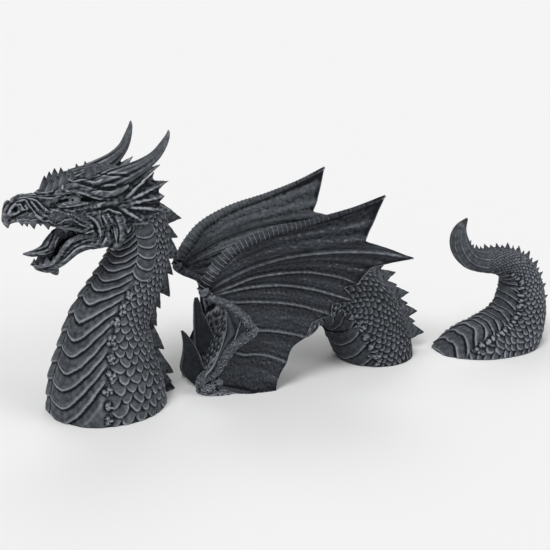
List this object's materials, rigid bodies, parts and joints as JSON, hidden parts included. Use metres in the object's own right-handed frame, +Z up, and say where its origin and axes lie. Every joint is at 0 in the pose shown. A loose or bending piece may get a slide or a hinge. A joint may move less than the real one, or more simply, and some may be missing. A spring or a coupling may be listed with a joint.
{
  "type": "dragon statue",
  "caption": "Garden statue of a dragon swimming through the ground: a roaring horned head on its neck, an arched winged body and a curled tail, each standing on its own flat foot.",
  "frame": {"origin": "middle of the whole statue's footprint, on the ground", "axes": "+X from the head towards the tail, so that the dragon faces -X; +Z up; -Y is the side that the picture shows"},
  "size_m": [0.8012, 0.2042, 0.3554],
  "materials": {
    "resin": "charcoal cast resin, satin, with dry-brushed grey edges",
    "resin_tail": "the same resin, dry-brushed a little lighter"
  },
  "bodies": {
    "root": {"head_and_neck": "resin", "winged_body": "resin", "tail": "resin_tail"}
  },
  "joints": []
}
